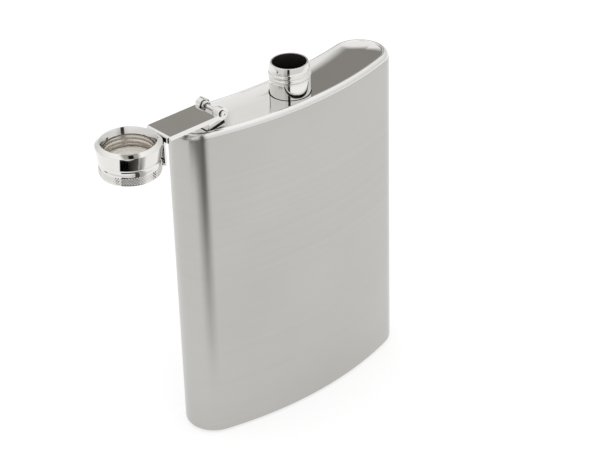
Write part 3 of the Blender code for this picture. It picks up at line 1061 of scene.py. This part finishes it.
@dataclass
class Knurl:
    """Diamond knurl round the cap's grip: one pair of diamonds, repeated.

    Attributes:
        centre: Point on the cap's axis at the lower edge of the knurl, in metres.
        radius: Radius of the diamonds' tips.
        relief: Height of the diamonds.
        height: Height of the knurled band.
        around: Diamonds round one row.
        rows: Rows of diamonds, with one row fewer between them.
        blunt: Radius of a diamond's tip.
        sink: Part of a diamond that sits in the grip.
    """

    centre: Vector
    radius: float
    relief: float
    height: float
    around: int = 72
    rows: int = 3
    blunt: float = 0.05
    sink: float = 0.06

    def column(self, name: str, rows: int, turn: float, start: float,
               step: float) -> bpy.types.Object:
        """One column of diamonds at an angle round the axis.

        Args:
            name: Name of the column.
            rows: Number of diamonds in it.
            turn: Its angle in radians.
            start: Height of the lowest diamond's middle.
            step: Rise from one diamond to the next.

        Returns:
            The column, its origin on the axis.
        """
        depth = self.relief + self.sink
        reach = (self.radius - depth / 2) * MM
        way = Vector((math.cos(turn), math.sin(turn), 0))
        width = math.pi * self.radius / self.around
        clear_selection()
        bpy.ops.mesh.primitive_cone_add(vertices=4, radius1=width * MM, radius2=self.blunt * MM,
                                        depth=depth * MM, rotation=(0, math.pi / 2, turn),
                                        location=self.centre + way * reach
                                        + Vector((0, 0, start * MM)))
        piece = name_new(name)
        with editing(piece):
            select_whole()
            bpy.ops.transform.translate(value=-self.centre)
        piece.location = self.centre
        apply_modifier(piece, "ARRAY", count=rows, use_relative_offset=False,
                       use_constant_offset=True, constant_offset_displace=(0, 0, step * MM))
        return piece

    def build(self) -> bpy.types.Object:
        """Diamonds all round the grip, as one piece."""
        step = self.height / self.rows
        turn = 2 * math.pi / self.around
        first = self.column("cap_knurl", self.rows, 0.0, step / 2, step)
        second = self.column("cap_knurl_between", self.rows - 1, turn / 2, step, step)
        piece = join([first, second])
        hub = place_new("cap_knurl_hub", None)
        hub.location = self.centre
        hub.rotation_euler.z = turn
        bpy.context.view_layer.update()
        apply_modifier(piece, "ARRAY", count=self.around, use_relative_offset=False,
                       use_object_offset=True, offset_object=hub)
        bpy.data.objects.remove(hub)
        bpy.ops.object.transform_apply(location=True, rotation=True, scale=True)
        with editing(piece):
            select_whole()
            bpy.ops.mesh.normals_make_consistent(inside=False)
        smooth(piece, 20)
        return piece


@dataclass
class Cap:
    """Screw cap: shell with knurled grip, threaded sleeve, seal, rivet and washer.

    Heights count from the cap's mouth, negative towards its closed end.

    Attributes:
        centre: Middle of the mouth, in metres.
        height: Mouth to closed end.
        band: Radius of the band at its widest.
        taper: How much narrower the band is by the cove.
        waist: Smallest radius of the cove.
        grip: Radius over the knurl.
        relief: Height of the knurl.
        grip_height: Height of the grip ring.
        cove: Height of the cove.
        chamfer: Height of the bevel round the mouth.
        mouth: Radius of the mouth's edge.
        funnel: Depth of the lead-in funnel.
        pocket: Radius of the pocket for the sleeve.
        ledge: Depth of the pocket.
        hollow: Depth of the inside.
        rivet_hole: Radius of the hole for the rivet.
        edge_gap: Knurl to the lower edge of the grip ring.
        thread_root: Radius that the sleeve's thread stands on.
        thread_depth: Height of that thread.
        thread_pitch: Rise of one turn.
        pressed: Inner and outer radius of the ring pressed into the seal.
        slope: Width of that ring's sloped sides.
        shank: Radius of the rivet's shank.
        peen: Radius of its peened end.
        peen_height: Height of its peened end.
    """

    centre: Vector
    height: float
    band: float = 11.15
    taper: float = 0.55
    waist: float = 9.95
    grip: float = 10.5
    relief: float = 0.28
    grip_height: float = 3.6
    cove: float = 2.4
    chamfer: float = 1.2
    mouth: float = 9.5
    funnel: float = 2.3
    pocket: float = 9.35
    ledge: float = 8.5
    hollow: float = 10.3
    rivet_hole: float = 1.8
    edge_gap: float = 0.35
    thread_root: float = 8.45
    thread_depth: float = 0.45
    thread_pitch: float = 1.5
    pressed: Point = (6.2, 6.9)
    slope: float = 0.3
    shank: float = 1.5
    peen: float = 2.5
    peen_height: float = 0.7

    def build_shell(self) -> bpy.types.Object:
        """Shell: knurl ring, cove, tapered band, chamfer and lead-in funnel."""
        grip_top = -self.height + self.grip_height
        cove_top = grip_top + self.cove
        low_band = self.band - self.taper
        core = self.grip - self.relief
        half = self.cove / 2
        cove = arc((low_band, cove_top - half), (low_band - self.waist, half), 225, 100, 10)
        outline = [(self.rivet_hole, -self.height, 0.15), (core, -self.height, 0.45),
                   (core, grip_top, 0.12), *corners_of(cove), (low_band, cove_top, 0.08),
                   (self.band, -self.chamfer, 0.15), (self.mouth, 0.0, 0.15),
                   (self.pocket - 1.0, -self.funnel, 0.1), (self.pocket, -self.funnel, 0.0),
                   (self.pocket, -self.ledge, 0.0), (self.pocket - 1.6, -self.ledge, 0.1),
                   (self.pocket - 1.6, -self.hollow, 0.0),
                   (self.rivet_hole, -self.hollow, 0.0)]
        return Lathe("cap_band", self.centre, rounded(outline, 5), count=192).build()

    def build_knurl(self) -> bpy.types.Object:
        """Knurl on the grip ring, clear of its two edges."""
        base = self.centre + Vector((0, 0, (self.edge_gap - self.height) * MM))
        height = self.grip_height - 1.5 * self.edge_gap
        return Knurl(base, self.grip, self.relief, height).build()

    def build_sleeve(self) -> bpy.types.Object:
        """Threaded sleeve inside the shell."""
        outer, foot, top = measures("cap_thread_insert", self.centre.z)
        thread = Thread(self.thread_root, -self.thread_depth, self.thread_pitch,
                        foot + 0.1, top - 0.1)
        outline = [(outer, foot, 0.1), (outer, top, 0.1), (thread.root, top, 0.0)]
        outline += corners_of(thread.rows()[::-1])
        outline += [(thread.root, foot, 0.0)]
        piece = Lathe("cap_thread", self.centre, rounded(outline)).build()
        thread.roll(piece, self.centre)
        return piece

    def build_seal(self) -> bpy.types.Object:
        """Seal disc with the ring that the neck has pressed into it."""
        outer, foot, top = measures("cap_liner", self.centre.z)
        inner, rim = self.pressed
        outline = [(0.3, top, 0.0), (inner - self.slope, top, 0.3), (inner, top - 0.15, 0.2),
                   (rim, top - 0.15, 0.2), (rim + self.slope, top, 0.3), (outer, top, 0.15),
                   (outer, foot, 0.15), (0.3, foot, 0.0)]
        return Lathe("cap_seal", self.centre, rounded(outline), closed=False).build()

    def build_rivet(self) -> bpy.types.Object:
        """Rivet under the arm: domed head, shank and peened end."""
        head, foot, top = measures("cap_rivet", self.centre.z)
        neck = top - self.peen_height
        dome = arc((0, foot + 1.0 - 0.2), (head, 0.8), -84, 0, 10)
        outline = corners_of(dome)
        outline += [(head, foot + 1.1, 0.08), (self.shank, foot + 1.1, 0.0),
                    (self.shank, neck, 0.0), (self.peen, neck, 0.1), (self.peen, top, 0.3),
                    (0.4, top - 0.05, 0.0)]
        return Lathe("arm_rivet", self.centre, rounded(outline), closed=False,
                     count=72).build()

    def build(self, nodes: dict) -> None:
        """Build and fit the cap's pieces.

        Args:
            nodes: The frame's nodes by name.
        """
        fit(self.build_shell(), Body.CAP, MIRROR, "cap_shell")
        fit(self.build_knurl(), Body.CAP, MIRROR)
        fit(self.build_sleeve(), Body.CAP, TURNED, "cap_thread_insert")
        fit(self.build_seal(), Body.CAP, RUBBER, "cap_liner")
        fit(self.build_rivet(), Body.ARM, MIRROR, "cap_rivet")
        redress(nodes["rivet_washer"], TURNED)


# ---------------------------------------------------------------- studio

@dataclass(frozen=True)
class Panel:
    """Light panel or dark flag that only reflections see.

    Attributes:
        name: Name of the panel.
        centre: Its middle, in millimetres.
        aim: Point that it faces, in millimetres.
        width: Across, in millimetres.
        height: Up, in millimetres.
        glow: Light that it gives off; 0 is black.
        soft: Share of the half width, and of the half height, over which it fades out.
    """

    name: str
    centre: tuple[float, float, float]
    aim: tuple[float, float, float]
    width: float
    height: float
    glow: float
    soft: tuple[float, float] = (0.2, 0.2)

    def paint(self) -> bpy.types.Material:
        """Even glow that fades out towards the panel's edges."""
        made = bpy.data.materials.new(self.name)
        made.use_nodes = True
        made.node_tree.nodes.clear()
        graph = Graph(made.node_tree)
        place = graph.add("SeparateXYZ", {0: graph.add("TexCoord").outputs["Object"]})
        fades = []
        for axis, soft in enumerate(self.soft):
            away = graph.maths("ABSOLUTE", place.outputs[axis])
            fades.append(graph.spread(away, 0.5 * (1 - soft), 0.5, 1.0, 0.0))
        glow = graph.add("Emission", {"Color": (1, 0.96, 0.90, 1), "Strength": self.glow})
        clear = graph.add("BsdfTransparent")
        mixed = graph.add("MixShader", {0: graph.maths("MULTIPLY", *fades),
                                        1: clear.outputs[0], 2: glow.outputs[0]})
        graph.add("OutputMaterial", {"Surface": mixed.outputs[0]})
        return made

    def build(self) -> None:
        """Hang the panel."""
        clear_selection()
        bpy.ops.mesh.primitive_plane_add(size=1.0)
        panel = bpy.context.object
        panel.name = self.name
        place = Vector(self.centre) * MM
        look = place - Vector(self.aim) * MM
        size = Matrix.Diagonal((self.width * MM, self.height * MM, 1, 1))
        panel.matrix_world = facing(place, look) @ size
        panel.data.materials.append(self.paint())
        for ray in ("camera", "diffuse", "shadow", "transmission"):
            setattr(panel, "visible_" + ray, False)


@dataclass
class Studio:
    """Pale floor, soft light, reflection panels and the camera.

    Attributes:
        azimuth: Camera's angle round the flask in degrees; 0 looks along +Y.
        elevation: Camera's angle above the horizon.
        roll: Tilt of the camera.
        distance: Camera to its target.
        slide: Sideways shift of the target.
        lift: Upward shift of the target.
        target: Height of the target before the shifts.
        lens: Focal length for a 36 mm wide image.
    """

    azimuth: float = -41.254
    elevation: float = 31.179
    roll: float = -1.655
    distance: float = 738.5
    slide: float = 2.25
    lift: float = 9.20
    target: float = 56.77
    lens: float = 121.8
    panels: list[Panel] = field(default_factory=list)

    def build_camera(self) -> None:
        """Place the camera."""
        azimuth, elevation = math.radians(self.azimuth), math.radians(self.elevation)
        back = Vector((math.sin(azimuth) * math.cos(elevation),
                       -math.cos(azimuth) * math.cos(elevation), math.sin(elevation)))
        right = Vector((math.cos(azimuth), math.sin(azimuth), 0))
        up = back.cross(right)
        roll = math.radians(self.roll)
        across = right * math.cos(roll) + up * math.sin(roll)
        upright = up * math.cos(roll) - right * math.sin(roll)
        place = (back * self.distance + right * self.slide + up * self.lift
                 + Vector((0, 0, self.target))) * MM
        turn = Matrix((across, upright, back)).transposed().to_4x4()
        data = bpy.data.cameras.new("camera")
        data.lens = self.lens
        data.sensor_width = 36.0
        data.clip_start = 0.01
        camera = place_new("camera", data)
        camera.matrix_world = Matrix.Translation(place) @ turn
        bpy.context.scene.camera = camera

    @staticmethod
    def build_floor() -> None:
        """Plain pale floor."""
        clear_selection()
        bpy.ops.mesh.primitive_plane_add(size=12.0, location=(0, 0, -0.0005))
        floor = bpy.context.object
        floor.name = "floor"
        paint = bpy.data.materials.new("pale_floor")
        paint.use_nodes = True
        Graph(paint.node_tree).fill(paint.node_tree.nodes["Principled BSDF"], {
            "Base Color": (0.35, 0.35, 0.35, 1), "Roughness": 0.9,
            "Specular IOR Level": 0.0, "Emission Color": (1, 1, 1, 1),
            "Emission Strength": 0.66})
        floor.data.materials.append(paint)

    @staticmethod
    def build_light() -> None:
        """Surround brighter overhead, two large soft boxes and a plain tone curve."""
        world = bpy.data.worlds.new("surround")
        world.use_nodes = True
        graph = Graph(world.node_tree)
        height = graph.add("SeparateXYZ", {0: graph.add("TexCoord").outputs["Generated"]})
        glow = graph.spread(height.outputs["Z"], 0.3, 0.95, 0.82, 1.15)
        graph.fill(world.node_tree.nodes["Background"],
                   {"Color": (1, 1, 1, 1), "Strength": glow})
        bpy.context.scene.world = world
        bpy.context.scene.view_settings.view_transform = "Standard"
        for name, place, size, power in (("top_box", (-0.3, -0.2, 1.4), 1.2, 4.0),
                                         ("side_box", (1.1, -0.9, 0.9), 0.9, 2.0)):
            data = bpy.data.lights.new(name, "AREA")
            data.size = size
            data.energy = power
            box = place_new(name, data)
            box.matrix_world = facing(Vector(place), Vector(place))
            box.visible_glossy = False

    def build(self) -> None:
        """Set up the whole studio."""
        self.build_camera()
        self.build_floor()
        self.build_light()
        for panel in self.panels:
            panel.build()


PANELS = [
    Panel("grey_wall_left", (90.4, 262.5, 265.0), (-79.0, 69.2, 122.0), 150.0, 150.0, 0.34,
          (0.10, 0.4)),
    Panel("grey_wall_right", (195.0, 170.9, 222.0), (25.6, -22.4, 122.0), 76.0, 150.0, 0.28,
          (0.2, 0.4)),
    Panel("corner_strip", (-71.5, -40.4, 85.0), (-45.0, -4.0, 85.0), 54.0, 200.0, 0.17,
          (1.0, 1.0)),
    Panel("cap_flag", (-96.8, -29.7, 95.0), (-78.5, -7.5, 121.6), 46.0, 20.0, 0.0,
          (0.08, 0.1)),
    Panel("neck_strip", (-90.0, -84.0, 230.0), (0.0, 0.0, 230.0), 34.0, 400.0, 0.0,
          (0.3, 0.1)),
    Panel("cap_back", (-124.0, 41.7, 126.0), (-80.7, 0.0, 122.0), 22.0, 24.0, 0.08,
          (0.3, 0.3)),
    Panel("overhead_mark", (-90.0, -44.5, 320.0), (-75.8, -8.4, 130.0), 44.0, 50.0, 0.0,
          (0.3, 0.3)),
    Panel("overhead_grey", (-88.0, -40.0, 326.0), (-75.8, -8.4, 130.0), 150.0, 150.0, 0.42,
          (0.4, 0.4)),
]


# ---------------------------------------------------------------- all together


def main() -> None:
    """Build every piece in order and report it."""
    logging.basicConfig(level=logging.INFO, format="%(message)s")
    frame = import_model()
    nodes = frame["nodes"]
    Studio(panels=PANELS).build()
    body = FlaskBody(*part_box("body_wall"))
    fit(body.build(), Body.FLASK, SATIN, "body_wall")
    redress(nodes["base_plate"], SATIN)
    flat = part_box("shoulder_plate")[1].z
    fit(Shoulder(body.section(), flat).build(), Body.FLASK, MIRROR, "shoulder_plate")
    fit(Neck(flat).build(), Body.FLASK, MIRROR, "neck_tube")
    HingeArm(nodes).build()
    low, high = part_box("cap_shell")
    mouth = Vector(((low.x + high.x) / 2, 0, high.z))
    Cap(mouth, (high.z - low.z) / MM).build(nodes)


if __name__ == "__main__":
    main()
